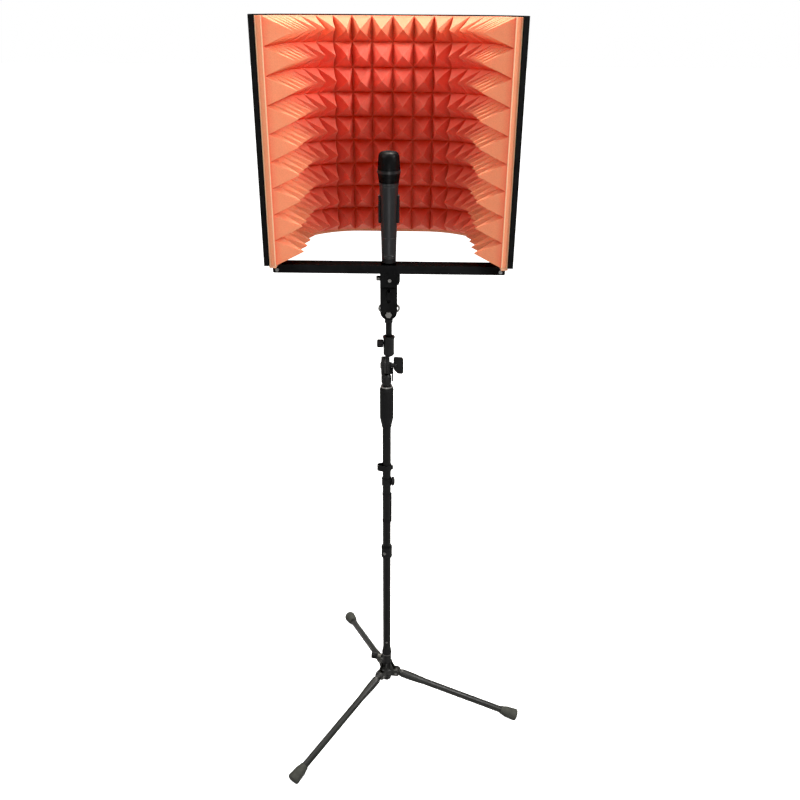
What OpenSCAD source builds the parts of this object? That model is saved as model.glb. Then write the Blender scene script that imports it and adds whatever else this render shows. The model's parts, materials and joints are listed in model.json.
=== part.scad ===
// Tripod stand with a U-shaped, foam-lined acoustic shield and a handheld microphone in a clip.
// Millimetres, +Z up. The floor is z = 0, the pole axis is x = 0, y = 0, and the shield opens to -Y.

/* [Shield] */
// Height of the foam-lined shield above the bar that carries it
shield_h = 500; // [400:5:560]
// Height of the top of the bar above the floor, with the mast pushed down
bar_top = 1300; // [1280:1:1320]
// Half the flat middle of the back wall
flat_half = 77; // [60:1:90]
// Inside radius of the two bends of the panel
bend_r = 173; // [150:1:190]
// Angle each bend turns through
bend_deg = 86.8; // [80:0.1:90]
// Length of each straight side wall
wall_len = 195; // [150:1:220]
// Thickness of the curved panel
panel_t = 8; // [7:0.5:10]

/* [Foam] */
// Solid layer under the pyramids
foam_base = 15; // [8:1:25]
// Height of a pyramid over that layer
foam_peak = 60; // [30:1:70]
// Columns of pyramids round the U
foam_cols = 22; // [12:2:28]
// Rows of pyramids, floor to top
foam_rows = 9; // [5:1:12]

/* [Bar and bracket] */
// Length of the bar across the mouth of the shield
bar_len = 516; // [500:1:520]
// Depth of the bar, front to back
bar_d = 36; // [30:1:40]
// Thickness of the bar
bar_t = 19; // [15:1:22]
// Width of the two bracket plates
plate_w = 38; // [32:1:44]
// Sideways offset of the rod from the pole
rod_x = 5; // [4:0.5:6]

/* [Pole] */
// Outside radius of the lower tube
tube_r = 10.5; // [10:0.25:10.5]
// Outside radius of the telescoping upper tube
inner_r = 8; // [7.5:0.25:8]
// Radius of the twist grip of the height clutch
grip_r = 16.5; // [16:0.5:17]
// Height of the tilt swivel above the floor
swivel_z = 1054; // [1052:1:1056]

/* [Tripod] */
// Height of the leg pivots above the floor
pivot_z = 112; // [108:1:116]
// Distance of the leg pivots from the pole axis
pivot_r = 28; // [27:0.5:30]
// Slope of a spread leg below level, in degrees
leg_drop = 16.9; // [16.5:0.1:17.5]
// Length of a leg tube from its pivot
leg_len = 345; // [335:1:350]
// Bearing of the first leg, counted from +X
leg_bearing = 231; // [225:1:237]

/* [Microphone] */
// Radius of the body at the tail and below the head
tail_r = 16.1; // [15:0.1:16.1]
neck_r = 20.3; // [19:0.1:20.3]
// Radius of the ball of the head
head_r = 24.3; // [23:0.1:25]

/* [Hidden] */
$fn = 64;
arc_fn = 240;
gap = 0.04;
hair = 0.05;
panel_bottom = bar_top + 2.5;
panel_top = bar_top + shield_h - 2.5;
front_y = -38;
bend_y = front_y - bend_r * cos(bend_deg) + wall_len * sin(bend_deg);
half_run = flat_half + bend_r * bend_deg * PI / 180 + wall_len;
bar_bottom = bar_top - bar_t;
bolt_z = bar_bottom - 95;
plate_in = 12.1;
plate_t = 3.9;
mic_z = bar_top + 2;
clip_y = 36;
clip_z = bar_top + 52;
lock_z = 1109;
hub_knob_z = 162;
bearings = [leg_bearing, leg_bearing + 120, leg_bearing + 240];

// ---------- helpers ----------

// Round bar along +X, starting at x0
module x_bar(x0, x1, r, fn = 48) {
  translate([x0, 0, 0]) rotate([0, 90, 0]) cylinder(r = r, h = x1 - x0, $fn = fn);
}

// Round bar along +Y, starting at y0
module y_bar(y0, y1, r, fn = 48) {
  translate([0, y0, 0]) rotate([-90, 0, 0]) cylinder(r = r, h = y1 - y0, $fn = fn);
}

// Upright ring
module ring(z0, z1, r0, r1) {
  translate([0, 0, z0]) difference() {
    cylinder(r = r1, h = z1 - z0);
    translate([0, 0, -1]) cylinder(r = r0, h = z1 - z0 + 2);
  }
}

// Grip knob along +X with finger scallops round its rim
module scalloped_knob(x0, x1, r, lobes) {
  difference() {
    union() {
      x_bar(x0 + 1, x1 - 1, r);
      x_bar(x0, x1, r - 1.2);
    }
    for (i = [0:lobes - 1]) {
      rotate([i * 360 / lobes, 0, 0]) translate([0, 0, r + 1.1]) x_bar(x0 - 1, x1 + 1, 2.2, 24);
    }
  }
}

// ---------- tripod ----------

// Frame of a leg: origin on its pivot, +X along the leg to the floor
module leg_frame(bearing) {
  rotate(bearing) translate([pivot_r, 0, pivot_z]) rotate([0, leg_drop, 0]) children();
}

// Frame on a pivot without the slope of the leg
module pivot_frame(bearing) {
  rotate(bearing) translate([pivot_r, 0, pivot_z]) children();
}

module hub() {
  color("#2b2b2a") difference() {
    union() {
      translate([0, 0, 84]) cylinder(r1 = 11.5, r2 = 13, h = 4);
      translate([0, 0, 88]) cylinder(r = 13, h = 14);
      translate([0, 0, 100]) cylinder(r = 18.4, h = 24);
      translate([0, 0, 124]) cylinder(r1 = 18.4, r2 = 12.5, h = 9);
      translate([0, 0, 132]) cylinder(r = 12.5, h = 42);
      for (b = bearings) {
        for (s = [-1, 1]) {
          pivot_frame(b) translate([0, s * 8.5, 0]) {
            y_bar(-2.2, 2.2, 10);
            translate([-14, -2.2, -10]) cube([14, 4.4, 20]);
          }
        }
      }
      rotate([0, 0, 171]) translate([0, 0, hub_knob_z]) x_bar(8, 15.5, 6);
    }
    translate([0, 0, 95]) cylinder(r = tube_r + gap, h = 90);
    translate([0, 0, 80]) cylinder(r = 7, h = 20);
    for (b = bearings) {
      pivot_frame(b) y_bar(-12, 12, 3.05);
    }
    rotate([0, 0, 171]) translate([0, 0, hub_knob_z]) x_bar(5, 20, 3.05);
  }
}

module hub_ring() {
  color("#c9c9c6") ring(174, 178, tube_r + gap, 13);
}

module hub_knob() {
  color("#1d1d1c") rotate([0, 0, 171]) translate([0, 0, hub_knob_z]) {
    x_bar(tube_r + 0.06, 29, 3);
    scalloped_knob(27, 43, 11.2, 8);
  }
}

module leg(bearing) {
  leg_frame(bearing) difference() {
    union() {
      y_bar(-6, 6, 9);
      translate([0, -6, -7]) cube([20, 12, 14]);
      translate([12, 0, 0]) rotate([0, 90, 0]) cylinder(r1 = 9.4, r2 = 10.7, h = 4);
      x_bar(16, 52, 10.7);
      translate([52, 0, 0]) rotate([0, 90, 0]) cylinder(r1 = 10.7, r2 = 9, h = 14);
      x_bar(50, leg_len, 9);
    }
    y_bar(-7, 7, 3.05);
    x_bar(56, leg_len + 1, 7.6);
  }
}

module leg_left() { color("#4a4a46") leg(bearings[0]); }
module leg_right() { color("#4a4a46") leg(bearings[1]); }
module leg_rear() { color("#4a4a46") leg(bearings[2]); }

// Rubber cap, flared to the floor and cut flat where it stands
module foot(bearing) {
  intersection() {
    leg_frame(bearing) difference() {
      union() {
        x_bar(leg_len - 34, leg_len - 20, 11.4);
        translate([leg_len - 20, 0, 0]) rotate([0, 90, 0]) cylinder(r1 = 11.4, r2 = 16.4, h = 26);
        x_bar(leg_len + 6, leg_len + 13, 16.4);
      }
      x_bar(leg_len - 35, leg_len + gap, 9 + gap);
    }
    translate([-500, -500, 0]) cube([1000, 1000, 200]);
  }
}

module foot_left() { color("#161616") foot(bearings[0]); }
module foot_right() { color("#161616") foot(bearings[1]); }
module foot_rear() { color("#161616") foot(bearings[2]); }

module pivot_pin(bearing) {
  pivot_frame(bearing) {
    y_bar(-12.4, 12.4, 3);
    y_bar(-12.4, -10.75, 3.9);
    y_bar(10.75, 12.4, 3.9);
  }
}

module pin_left() { color("#b9b9b6") pivot_pin(bearings[0]); }
module pin_right() { color("#b9b9b6") pivot_pin(bearings[1]); }
module pin_rear() { color("#b9b9b6") pivot_pin(bearings[2]); }

// ---------- pole ----------

module lower_tube() {
  color("#353533") difference() {
    translate([0, 0, 95.05]) cylinder(r = tube_r, h = 822.95);
    translate([0, 0, 90]) cylinder(r = tube_r - 1.4, h = 840);
    translate([0, 0, 221]) y_bar(-12, 0, 2.04);
  }
}

module tube_rivet() {
  color("#c9c9c6") translate([0, 0, 221]) {
    y_bar(-tube_r - 0.9, -tube_r, 3);
    y_bar(-tube_r - 0.2, -tube_r + 1.3, 2);
  }
}

module pole_collar() {
  color("#1d1d1c") difference() {
    union() {
      ring(508, 539, tube_r + gap, 14);
      ring(506, 541, tube_r + gap, 12.8);
    }
    rotate([0, 0, 250]) translate([0, 0, 524]) x_bar(9, 16, 2.04);
  }
}

module collar_screw() {
  color("#c9c9c6") rotate([0, 0, 250]) translate([0, 0, 524]) {
    x_bar(tube_r + 0.1, 14.2, 2);
    x_bar(14.02, 16, 4);
  }
}

// Two spring rings joined by a strip that a cable lies behind
module cable_keeper() {
  color("#161616") {
    ring(617, 624, tube_r + gap, 11.3);
    ring(695, 702, tube_r + gap, 11.3);
    difference() {
      translate([8, -3, 617]) cube([4.9, 6, 85]);
      translate([0, 0, 610]) cylinder(r = tube_r + gap, h = 100);
    }
  }
}

// Turning ring with an open hook for a cable
module cable_clip() {
  color("#161616") {
    ring(764, 794, tube_r + gap, 12.8);
    translate([-17.6, 0, 766]) difference() {
      cylinder(r = 6.2, h = 26);
      translate([0, 0, -1]) cylinder(r = 3.6, h = 28);
      translate([-10, -1.6, -1]) cube([8, 3.2, 28]);
    }
  }
}

module clamp_band() {
  color("#1d1d1c") difference() {
    union() {
      ring(727, 747, tube_r + gap, 12.4);
      difference() {
        translate([0, 0, 737]) x_bar(5, 12.6, 7);
        translate([0, 0, 720]) cylinder(r = tube_r + gap, h = 40);
      }
    }
    translate([0, 0, 737]) x_bar(5, 16, 3.05);
  }
}

module clamp_knob() {
  color("#1d1d1c") translate([0, 0, 737]) {
    x_bar(tube_r + 0.06, 15, 3);
    scalloped_knob(12.8, 19.2, 10.4, 10);
  }
}

// Sleeve fixed on the lower tube, with a seat for the collet
module clutch_core() {
  color("#161616") translate([0, 0, 893]) difference() {
    cylinder(r = 12.4, h = 92);
    translate([0, 0, -1]) cylinder(r = tube_r + gap, h = 26.1);
    translate([0, 0, 24]) cylinder(r = inner_r + 0.3, h = 30);
    translate([0, 0, 50]) cylinder(r = 11.2, h = 50);
  }
}

module clutch_collet() {
  color("#d8d6cf") translate([0, 0, 943]) difference() {
    cylinder(r = 11.1, h = 38);
    translate([0, 0, -1]) cylinder(r = inner_r + 0.05, h = 40);
    for (a = [0:90:270]) {
      rotate(a) translate([0, -0.8, 8]) cube([20, 1.6, 40]);
    }
  }
}

module clutch_grip() {
  color("#1d1d1c") difference() {
    rotate_extrude() polygon([
      [12.46, 901], [13, 901], [grip_r, 917], [grip_r, 992], [grip_r - 1.4, 998],
      [inner_r + 0.4, 998], [inner_r + 0.4, 987], [12.46, 987]]);
    for (i = [0:19]) {
      rotate(i * 18) translate([grip_r + 0.9, 0, 921]) cylinder(r = 1.4, h = 65, $fn = 24);
    }
  }
}

module clutch_ring() {
  color("#c9c9c6") ring(998.02, 1002, inner_r + 0.4, 14);
}

module upper_tube() {
  color("#353533") ring(560, 1020, inner_r - 1.4, inner_r);
}

// Plastic plug that guides the foot of the upper tube
module tube_bush() {
  color("#d8d6cf") {
    translate([0, 0, 542]) cylinder(r = tube_r - 1.45, h = 18);
    translate([0, 0, 558]) cylinder(r = inner_r - 1.44, h = 24);
  }
}

// ---------- tilt swivel ----------

module ribbed_disc(x0, x1) {
  difference() {
    x_bar(x0, x1, 21, 96);
    for (i = [0:29]) {
      rotate([i * 12, 0, 0]) translate([0, 0, 21.5]) x_bar(x0 - 1, x1 + 1, 1.3, 16);
    }
  }
}

module swivel_block() {
  color("#1d1d1c") difference() {
    union() {
      translate([0, 0, 1005]) cylinder(r = 11.2, h = 21);
      translate([0, 0, 1026]) cylinder(r1 = 11.2, r2 = 8.6, h = 5.5);
      intersection() {
        translate([-12.6, -9, 1012]) cube([9.2, 18, swivel_z - 1012]);
        translate([0, 0, 1000]) cylinder(r = 14, h = 80);
      }
      translate([0, 0, swivel_z]) ribbed_disc(-12.6, -3.4);
    }
    translate([0, 0, 1004]) cylinder(r = inner_r + gap, h = 16.1);
    translate([0, 0, swivel_z]) x_bar(-14, 0, 4.05);
  }
}

module swivel_washer() {
  color("#8f1d17") translate([0, 0, swivel_z]) difference() {
    x_bar(-3.38, -2.82, 19.5);
    x_bar(-4, 0, 4.05);
  }
}

module rod_holder() {
  color("#1d1d1c") difference() {
    union() {
      translate([0, 0, swivel_z]) ribbed_disc(-2.8, 6.6);
      translate([-2.8, -8, swivel_z]) cube([9.4, 16, 30]);
      translate([rod_x, 0, 1079]) cylinder(r1 = 9, r2 = 12.5, h = 4);
      translate([rod_x, 0, 1083]) cylinder(r = 12.5, h = 39);
      translate([rod_x, 0, 1121]) cylinder(r1 = 12.5, r2 = 14, h = 3);
      translate([rod_x, 0, 1124]) cylinder(r = 14, h = 3);
    }
    translate([rod_x, 0, 1087]) cylinder(r = 7.35, h = 50);
    translate([0, 0, swivel_z]) x_bar(-5, 8, 4.05);
    translate([0, 0, lock_z]) x_bar(-12, rod_x, 3.05);
  }
}

module swivel_bolt() {
  color("#c9c9c6") translate([0, 0, swivel_z]) {
    x_bar(-15.2, -12.62, 7.5);
    x_bar(-13, 22, 4);
  }
}

module t_knob() {
  color("#1d1d1c") translate([0, 0, swivel_z]) difference() {
    union() {
      x_bar(6.64, 12, 8);
      x_bar(11, 22, 5.6);
      translate([0, 2.6, 0]) rotate([90, 0, 0]) linear_extrude(5.2) polygon([
        [16, -5], [18, -12], [26, -20], [36, -21], [39.5, -18],
        [39.5, 15], [36, 20], [19, 21], [16, 18], [16, 5]]);
    }
    x_bar(6, 22.2, 4.05);
  }
}

module holder_knob() {
  color("#1d1d1c") translate([0, 0, lock_z]) {
    x_bar(-10, rod_x - 7.36, 3);
    scalloped_knob(-22.4, -7.9, 9.6, 8);
  }
}

// Short rod with a flat-sided head for the bracket bolt
module boom_rod() {
  color("#353533") translate([rod_x, 0, 0]) difference() {
    union() {
      translate([0, 0, 1088]) cylinder(r = 7.3, h = bolt_z - 1108);
      translate([-9, -plate_in + 0.1, bolt_z - 22]) cube([18, 2 * plate_in - 0.2, 22]);
      translate([0, 0, bolt_z]) y_bar(-plate_in + 0.1, plate_in - 0.1, 9);
    }
    translate([0, 0, bolt_z]) y_bar(-20, 20, 4.05);
  }
}

// ---------- bracket ----------

module bracket_plate(y0) {
  translate([rod_x, 0, 0]) difference() {
    union() {
      translate([0, 0, bolt_z + 5]) y_bar(y0, y0 + plate_t, plate_w / 2, 96);
      translate([-plate_w / 2, y0, bolt_z + 5]) cube([plate_w, plate_t, bar_bottom - bolt_z - 5]);
    }
    translate([0, 0, bolt_z]) y_bar(y0 - 1, y0 + plate_t + 1, 4.05);
    translate([0, 0, bolt_z + 30]) y_bar(y0 - 1, y0 + plate_t + 1, 4.2);
    translate([0, 0, bolt_z + 55]) y_bar(y0 - 1, y0 + plate_t + 1, 4.2);
    translate([2.5, 0, bar_bottom - 15]) y_bar(y0 - 1, y0 + plate_t + 1, 2.05);
  }
}

module bracket_front() { color("#252524") bracket_plate(-plate_in - plate_t); }
module bracket_rear() { color("#252524") bracket_plate(plate_in); }

module bracket_block() {
  color("#1d1d1c") translate([rod_x, 0, 0]) difference() {
    translate([-plate_w / 2, -plate_in, bar_bottom - 30]) cube([plate_w, 2 * plate_in, 30]);
    translate([0, 0, bar_bottom - 15]) x_bar(-30, 30, 3.05);
    translate([2.5, 0, bar_bottom - 15]) y_bar(-20, -3.6, 2.05);
  }
}

module bracket_cap() {
  color("#161616") translate([rod_x, 0, 0]) difference() {
    translate([-plate_w / 2, -plate_in - plate_t - 3, bar_bottom - 31]) cube([plate_w, 2.98, 31]);
    translate([2.5, 0, bar_bottom - 15]) y_bar(-30, 0, 2.05);
  }
}

module cap_screw() {
  color("#c9c9c6") translate([rod_x + 2.5, 0, bar_bottom - 15]) {
    y_bar(-21, -19.02, 3.8);
    y_bar(-20, -4, 2);
  }
}

// Bolt that clamps the block from the side; grey cap on the left, nut on the right
module cross_bolt() {
  color("#8b8b88") translate([rod_x, 0, bar_bottom - 15]) difference() {
    union() {
      x_bar(-28, -19.02, 5.6);
      x_bar(-20, 24, 3);
    }
    translate([-29, 0, 0]) rotate([0, 90, 0]) cylinder(r = 2.9, h = 4, $fn = 6);
  }
}

module cross_nut() {
  color("#161616") translate([rod_x, 0, bar_bottom - 15]) difference() {
    translate([19.02, 0, 0]) rotate([90, 0, 0]) translate([0, 0, -6]) linear_extrude(12) polygon([
      [0, -14], [3, -14], [6, -5], [6, 8], [3, 13], [0, 13]]);
    x_bar(18, 30, 3.05);
  }
}

module hex_bolt() {
  color("#c9c9c6") translate([rod_x, 0, bolt_z]) {
    translate([0, -22.4, 0]) rotate([-90, 0, 0]) cylinder(r = 7.5, h = 6.38, $fn = 6);
    y_bar(-17, 29, 4);
  }
}

// Nut with two ring-shaped wings behind the rear plate
module wing_nut() {
  color("#b9b9b6") translate([rod_x, 0, bolt_z]) difference() {
    union() {
      y_bar(16.04, 27, 8);
      for (s = [-1, 1]) {
        translate([s * 15.6, 0, 2]) difference() {
          y_bar(18.5, 23, 9.6);
          y_bar(18, 24, 5.4);
        }
      }
    }
    y_bar(15, 28, 4.05);
  }
}

// ---------- bar and shield ----------

// Round-cornered plan of the bar
module bar_plan(len, dep, r) {
  square([len - 2 * r, dep], center = true);
  square([len, dep - 2 * r], center = true);
  for (sx = [-1, 1]) {
    for (sy = [-1, 1]) {
      translate([sx * (len / 2 - r), sy * (dep / 2 - r)]) circle(r = r);
    }
  }
}

module cross_bar() {
  color("#1b1b1b") translate([rod_x, 0, 0]) difference() {
    translate([0, 0, bar_bottom]) linear_extrude(bar_t) bar_plan(bar_len, bar_d, 8);
    for (s = [-1, 1]) {
      translate([s * 247, 0, bar_top - 12]) y_bar(-20, 1.2, 2.05);
      translate([s * 247 - 7.1, -8.1, bar_top - 17]) cube([14.2, 3.2, 20]);
    }
  }
}

// Frame of a side wall: +X along it to its front edge, +Y outwards, from the end of the bend
module wall_frame(s) {
  translate([rod_x, 0, 0]) mirror([s < 0 ? 1 : 0, 0, 0]) translate([flat_half, bend_y, 0])
    rotate(-bend_deg) translate([0, bend_r, 0]) children();
}

// Tab that joins the bar to the panel: up into a slot of the panel, down into the bar
module corner(s) {
  wall_frame(s) translate([wall_len - 53, 2.6, bar_top + 0.02]) cube([24, 2.8, 33]);
  translate([rod_x, 0, 0]) mirror([s < 0 ? 1 : 0, 0, 0]) {
    translate([238, -12, bar_top + 0.02]) cube([25.5, 24, 2.4]);
    difference() {
      translate([240, -8, bar_top - 16]) cube([14, 3, 17.5]);
      translate([247, 0, bar_top - 12]) y_bar(-10, 0, 2.1);
    }
  }
}

module corner_left() { color("#30302e") corner(-1); }
module corner_right() { color("#30302e") corner(1); }

module bar_screw(s) {
  translate([rod_x + s * 247, 0, bar_top - 12]) {
    y_bar(-20.2, -18.02, 4);
    y_bar(-19, 0.6, 2);
  }
}

module bar_screw_left() { color("#c9c9c6") bar_screw(-1); }
module bar_screw_right() { color("#c9c9c6") bar_screw(1); }

// Half of the plan of the U between two distances outside the panel's inner face.
// The straight parts are a hair thinner than the bend, so that each runs well inside it.
module half_band(d0, d1, extra) {
  thin = d1 - d0 - 2 * hair;
  translate([-0.3, bend_y + bend_r + d0 + hair]) square([flat_half + 0.6, thin]);
  translate([flat_half, bend_y]) {
    intersection() {
      difference() {
        circle(r = bend_r + d1, $fn = arc_fn);
        circle(r = bend_r + d0, $fn = arc_fn);
      }
      polygon([[0, 0], [0, 400], [400, 400], [400, 400 / tan(bend_deg)]]);
    }
    rotate(-bend_deg) translate([-0.3, bend_r + d0 + hair]) square([wall_len + extra + 0.3, thin]);
  }
}

module u_band(d0, d1, extra = 0) {
  translate([rod_x, 0]) {
    half_band(d0, d1, extra);
    mirror([1, 0]) half_band(d0, d1, extra);
  }
}

module shell() {
  color("#1f1f1f") difference() {
    translate([0, 0, panel_bottom]) linear_extrude(panel_top - panel_bottom) u_band(0, panel_t);
    for (s = [-1, 1]) {
      wall_frame(s) translate([wall_len - 53.1, 2.5, panel_bottom - 1]) cube([24.2, 3, 34.2]);
    }
  }
}

// Edge strip over the front edges and the top edge of the panel
module edge_trim() {
  color("#141414") {
    translate([0, 0, panel_top + 0.02]) linear_extrude(2.48) u_band(0, panel_t + 2.5, 3.5);
    translate([0, 0, panel_top - 12]) linear_extrude(13) u_band(panel_t + 0.02, panel_t + 2.5, 3.5);
    for (s = [-1, 1]) {
      wall_frame(s) translate([0, 0, panel_bottom]) {
        translate([wall_len + 0.02, hair, 0])
          cube([3.48, panel_t + 2.5 - 2 * hair, panel_top - panel_bottom + 1]);
        translate([wall_len - 14, panel_t + 0.02 + hair, 0])
          cube([17.5, 2.48 - 2 * hair, panel_top - panel_bottom + 1]);
      }
    }
  }
}

// Point of the U plan at run t from the middle of the back, at depth d inside the panel
function u_right(t, d) =
  t <= flat_half ? [t, bend_y + bend_r - d] :
  t <= half_run - wall_len ?
    let (a = (t - flat_half) / bend_r * 180 / PI)
      [flat_half + (bend_r - d) * sin(a), bend_y + (bend_r - d) * cos(a)] :
  let (w = t - half_run + wall_len)
    [flat_half + (bend_r - d) * sin(bend_deg) + w * cos(bend_deg),
     bend_y + (bend_r - d) * cos(bend_deg) - w * sin(bend_deg)];
function u_point(t, d) =
  let (p = u_right(abs(t), d)) [rod_x + (t < 0 ? -p[0] : p[0]), p[1]];
function u_at(t, d, z) = let (p = u_point(t, d)) [p[0], p[1], z];

// Pyramid foam as one closed solid: a flat back, a grid of valleys and one peak in each cell
module foam() {
  nc = foam_cols;
  nr = foam_rows;
  step = 2 * half_run / nc;
  z0 = panel_bottom + 0.5;
  rise = (panel_top - z0) / nr;
  valleys = [for (j = [0:nr]) for (i = [0:nc]) u_at(i * step - half_run, foam_base, z0 + j * rise)];
  peaks = [for (j = [0:nr - 1]) for (i = [0:nc - 1])
    u_at((i + 0.5) * step - half_run, foam_base + foam_peak, z0 + (j + 0.5) * rise)];
  back_low = [for (i = [0:nc]) u_at(i * step - half_run, 0.3, z0)];
  back_top = [for (i = [0:nc]) u_at(i * step - half_run, 0.3, z0 + nr * rise)];
  w = nc + 1;
  n_valleys = len(valleys);
  low = n_valleys + len(peaks);
  top = low + w;
  slopes = [for (j = [0:nr - 1]) for (i = [0:nc - 1]) for (f =
    let (a = j * w + i, b = a + 1, c = b + w, d = a + w, p = n_valleys + j * nc + i)
      [[a, b, p], [b, c, p], [c, d, p], [d, a, p]]) f];
  back = [for (i = [0:nc - 1]) [low + i, top + i, top + i + 1, low + i + 1]];
  floor_faces = [for (i = [0:nc - 1]) [i, low + i, low + i + 1, i + 1]];
  top_faces = [for (i = [0:nc - 1])
    [nr * w + i, nr * w + i + 1, top + i + 1, top + i]];
  left_end = [concat([top, low], [for (j = [0:nr]) j * w])];
  right_end = [concat([low + nc, top + nc], [for (j = [nr:-1:0]) j * w + nc])];
  color("#e8744a") polyhedron(
    points = concat(valleys, peaks, back_low, back_top),
    faces = concat(slopes, back, floor_faces, top_faces, left_end, right_end),
    convexity = 12);
}

// ---------- microphone and clip ----------

// Angle plate on the back of the bar, with the stud the clip screws on
module clip_plate() {
  color("#252524") translate([rod_x, 0, 0]) {
    translate([-14, bar_d / 2 + 0.02, bar_top - 17]) cube([28, 3, 29]);
    translate([-14, bar_d / 2 + 0.02, bar_top + 9]) cube([28, 32, 3]);
    translate([0, clip_y, bar_top + 11]) cylinder(r = 7.9, h = 19);
  }
}

module clip_base() {
  color("#161616") translate([rod_x, clip_y, 0]) difference() {
    union() {
      translate([0, 0, bar_top + 12.02]) cylinder(r = 12.5, h = 24);
      translate([0, 0, bar_top + 36]) cylinder(r1 = 12.5, r2 = 9.5, h = 4);
      translate([-4, -9, bar_top + 38]) cube([8, 18, 14]);
      translate([0, 0, clip_z]) x_bar(-4, 4, 9);
    }
    translate([0, 0, bar_top + 11]) cylinder(r = 7.95, h = 19.2);
    translate([0, 0, clip_z]) x_bar(-6, 6, 2.55);
  }
}

module clip_pivot() {
  color("#b9b9b6") translate([rod_x, clip_y, clip_z]) {
    x_bar(-9.6, 9.6, 2.5);
    x_bar(-11.4, -9.34, 4.8);
    x_bar(9.34, 11.4, 4.8);
  }
}

// Open cradle that grips the microphone from behind
module clip_jaws() {
  difference() {
    translate([0, 0, bar_top + 92]) rotate_extrude() polygon([[18.45, 0], [23.2, 0], [23.2, 58], [20.05, 58]]);
    translate([-30, -40, bar_top + 80]) cube([60, 32, 90]);
  }
}

module clip_cradle() {
  color("#161616") translate([rod_x, 0, 0]) {
    clip_jaws();
    translate([-7, 21, clip_z + 12]) cube([14, 12, 80]);
    difference() {
      union() {
        for (s = [-1, 1]) {
          translate([s * 6.7, clip_y, clip_z]) {
            x_bar(-2.6, 2.6, 9);
            translate([-2.6, -9, 0]) cube([5.2, 18, 16]);
          }
        }
        translate([-9.3, 21, clip_z + 9.6]) cube([18.6, 24, 12]);
      }
      translate([0, clip_y, clip_z]) x_bar(-12, 12, 2.55);
    }
  }
}

module mic_body() {
  color("#3a3a3a") translate([rod_x, 0, bar_top]) difference() {
    rotate_extrude($fn = 96) polygon([
      [0, 12.04], [tail_r, 12.04], [17, 59], [17.2, 60], [neck_r, 168], [21.4, 177], [0, 177]]);
    translate([0, 0, 20]) cylinder(r = 13, h = 148);
  }
}

module mic_end() {
  color("#141414") translate([rod_x, 0, bar_top]) {
    translate([0, 0, 2]) cylinder(r1 = 14.6, r2 = tail_r - 0.2, h = 2);
    translate([0, 0, 4]) cylinder(r = tail_r - 0.2, h = 8);
  }
}

// Hollow wire-mesh head
module mic_grille() {
  color("#232323") translate([rod_x, 0, bar_top]) rotate_extrude($fn = 96) difference() {
    polygon([
      [0, 177.04], [21.4, 177.04], [head_r, 197], [head_r - 0.1, 206], [22.5, 231], [21.6, 235.2],
      [19.6, 238.4], [16.6, 240.4], [12, 241.4], [0, 241.9]]);
    polygon([
      [-1, 170], [20, 170], [20, 178], [head_r - 1.3, 197.4], [head_r - 1.4, 206], [21.2, 230.7],
      [20.4, 234.5], [18.7, 237.2], [16, 239], [11.8, 240.1], [-1, 240.6]]);
  }
}

module mic_ring() {
  color("#2e2e2e") translate([rod_x, 0, 0]) ring(bar_top + 197.5, bar_top + 203.5, head_r + 0.03, head_r + 0.9);
}

module mic_capsule() {
  color("#9a9a96") translate([rod_x, 0, bar_top + 177.04]) {
    cylinder(r = 11, h = 14);
    translate([0, 0, 12]) cylinder(r = 14.5, h = 20);
  }
}

hub();
hub_ring();
hub_knob();
lower_tube();
tube_rivet();
pole_collar();
collar_screw();
leg_left();
leg_right();
leg_rear();
foot_left();
foot_right();
foot_rear();
pin_left();
pin_right();
pin_rear();
cable_keeper();
cable_clip();
clamp_band();
clamp_knob();
clutch_core();
clutch_collet();
clutch_grip();
clutch_ring();
upper_tube();
tube_bush();
swivel_block();
swivel_washer();
rod_holder();
swivel_bolt();
t_knob();
holder_knob();
boom_rod();
bracket_front();
bracket_rear();
bracket_block();
bracket_cap();
cap_screw();
cross_bolt();
cross_nut();
hex_bolt();
wing_nut();
cross_bar();
corner_left();
corner_right();
bar_screw_left();
bar_screw_right();
shell();
edge_trim();
foam();
clip_plate();
clip_base();
clip_pivot();
clip_cradle();
mic_body();
mic_end();
mic_grille();
mic_ring();
mic_capsule();
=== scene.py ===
import json
import math
import random

import bmesh
import bpy
from mathutils import Matrix, Vector, noise


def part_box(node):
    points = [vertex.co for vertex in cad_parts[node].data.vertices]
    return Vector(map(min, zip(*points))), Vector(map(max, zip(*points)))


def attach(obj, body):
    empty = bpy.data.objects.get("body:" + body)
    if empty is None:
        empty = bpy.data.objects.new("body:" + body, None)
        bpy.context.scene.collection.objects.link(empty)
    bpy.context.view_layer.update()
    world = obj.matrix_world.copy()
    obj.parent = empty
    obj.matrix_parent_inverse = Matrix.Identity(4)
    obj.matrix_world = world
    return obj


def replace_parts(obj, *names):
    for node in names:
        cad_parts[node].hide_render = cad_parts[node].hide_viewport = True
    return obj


# Tripod stand with a U-shaped, foam-lined acoustic shield and a handheld microphone.
# Metres, +Z up, the floor at z = 0, the shield opening to -Y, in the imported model's own frame.

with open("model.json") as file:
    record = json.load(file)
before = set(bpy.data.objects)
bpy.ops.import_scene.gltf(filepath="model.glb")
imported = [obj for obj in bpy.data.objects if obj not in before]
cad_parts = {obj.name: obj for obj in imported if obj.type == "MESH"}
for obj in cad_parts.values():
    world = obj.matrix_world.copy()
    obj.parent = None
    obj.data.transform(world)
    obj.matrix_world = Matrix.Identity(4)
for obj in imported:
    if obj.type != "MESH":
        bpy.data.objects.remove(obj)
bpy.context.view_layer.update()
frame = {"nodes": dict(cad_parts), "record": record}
nodes = frame["nodes"]
scene = bpy.context.scene
MM = 0.001

# --------------------------------------------------
# Materials
# --------------------------------------------------


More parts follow.
